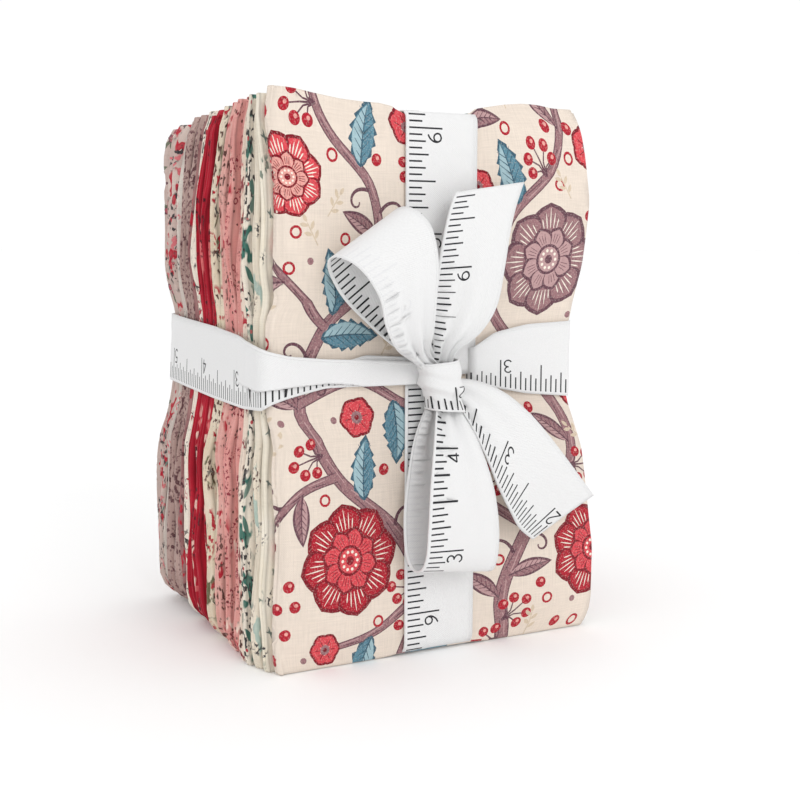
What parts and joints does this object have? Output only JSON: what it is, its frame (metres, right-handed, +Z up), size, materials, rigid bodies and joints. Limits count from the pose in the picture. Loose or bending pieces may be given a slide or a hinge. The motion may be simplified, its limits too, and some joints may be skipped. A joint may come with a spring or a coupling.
{
  "type": "fat eighth bundle",
  "caption": "Bundle of folded printed quilting cottons standing on end, tied both ways with a tape ribbon and a bow.",
  "frame": {"origin": "on the surface that the bundle stands on, under the middle of its box", "axes": "+Z up the bundle's long side, -Y out of the printed front face with the bow, -X towards the folded edges"},
  "size_m": [0.0996, 0.1012, 0.1406],
  "materials": {
    "floral": "printed quilting cotton, matt, cream ground with a large flower print",
    "ivory": "printed quilting cotton, matt, ivory with small sprigs",
    "teal": "printed quilting cotton, matt, ivory with green sprigs",
    "rose_ivory": "printed quilting cotton, matt, ivory with red sprigs",
    "pink": "printed quilting cotton, matt, pink with small dots and rings",
    "rose": "printed quilting cotton, matt, rose with brown sprigs",
    "tan": "printed quilting cotton, matt, tan with olive and red marks",
    "red": "printed quilting cotton, matt, crimson with coral flecks",
    "mauve": "printed quilting cotton, matt, dusty mauve with dark marks",
    "grey": "printed quilting cotton, matt, warm grey with red and dark marks",
    "rose_grey": "printed quilting cotton, matt, rose grey with green marks",
    "tape": "white twill tape, matt, printed with a charcoal inch scale"
  },
  "bodies": {
    "root": {"fabric_01": "floral", "fabric_02": "ivory", "fabric_03": "ivory", "fabric_04": "teal", "fabric_05": "rose_ivory", "fabric_06": "pink", "fabric_07": "pink", "fabric_08": "rose", "fabric_09": "rose_ivory", "fabric_10": "tan", "fabric_11": "tan", "fabric_12": "red", "fabric_13": "red", "fabric_14": "red", "fabric_15": "red", "fabric_16": "ivory", "fabric_17": "mauve", "fabric_18": "mauve", "fabric_19": "mauve", "fabric_20": "grey", "fabric_21": "grey", "fabric_22": "rose_grey", "ribbon_around": "tape", "ribbon_over": "tape", "bow_knot": "tape", "bow_loop_upper": "tape", "bow_loop_lower": "tape", "bow_tail_upper": "tape", "bow_tail_lower": "tape"}
  },
  "joints": []
}
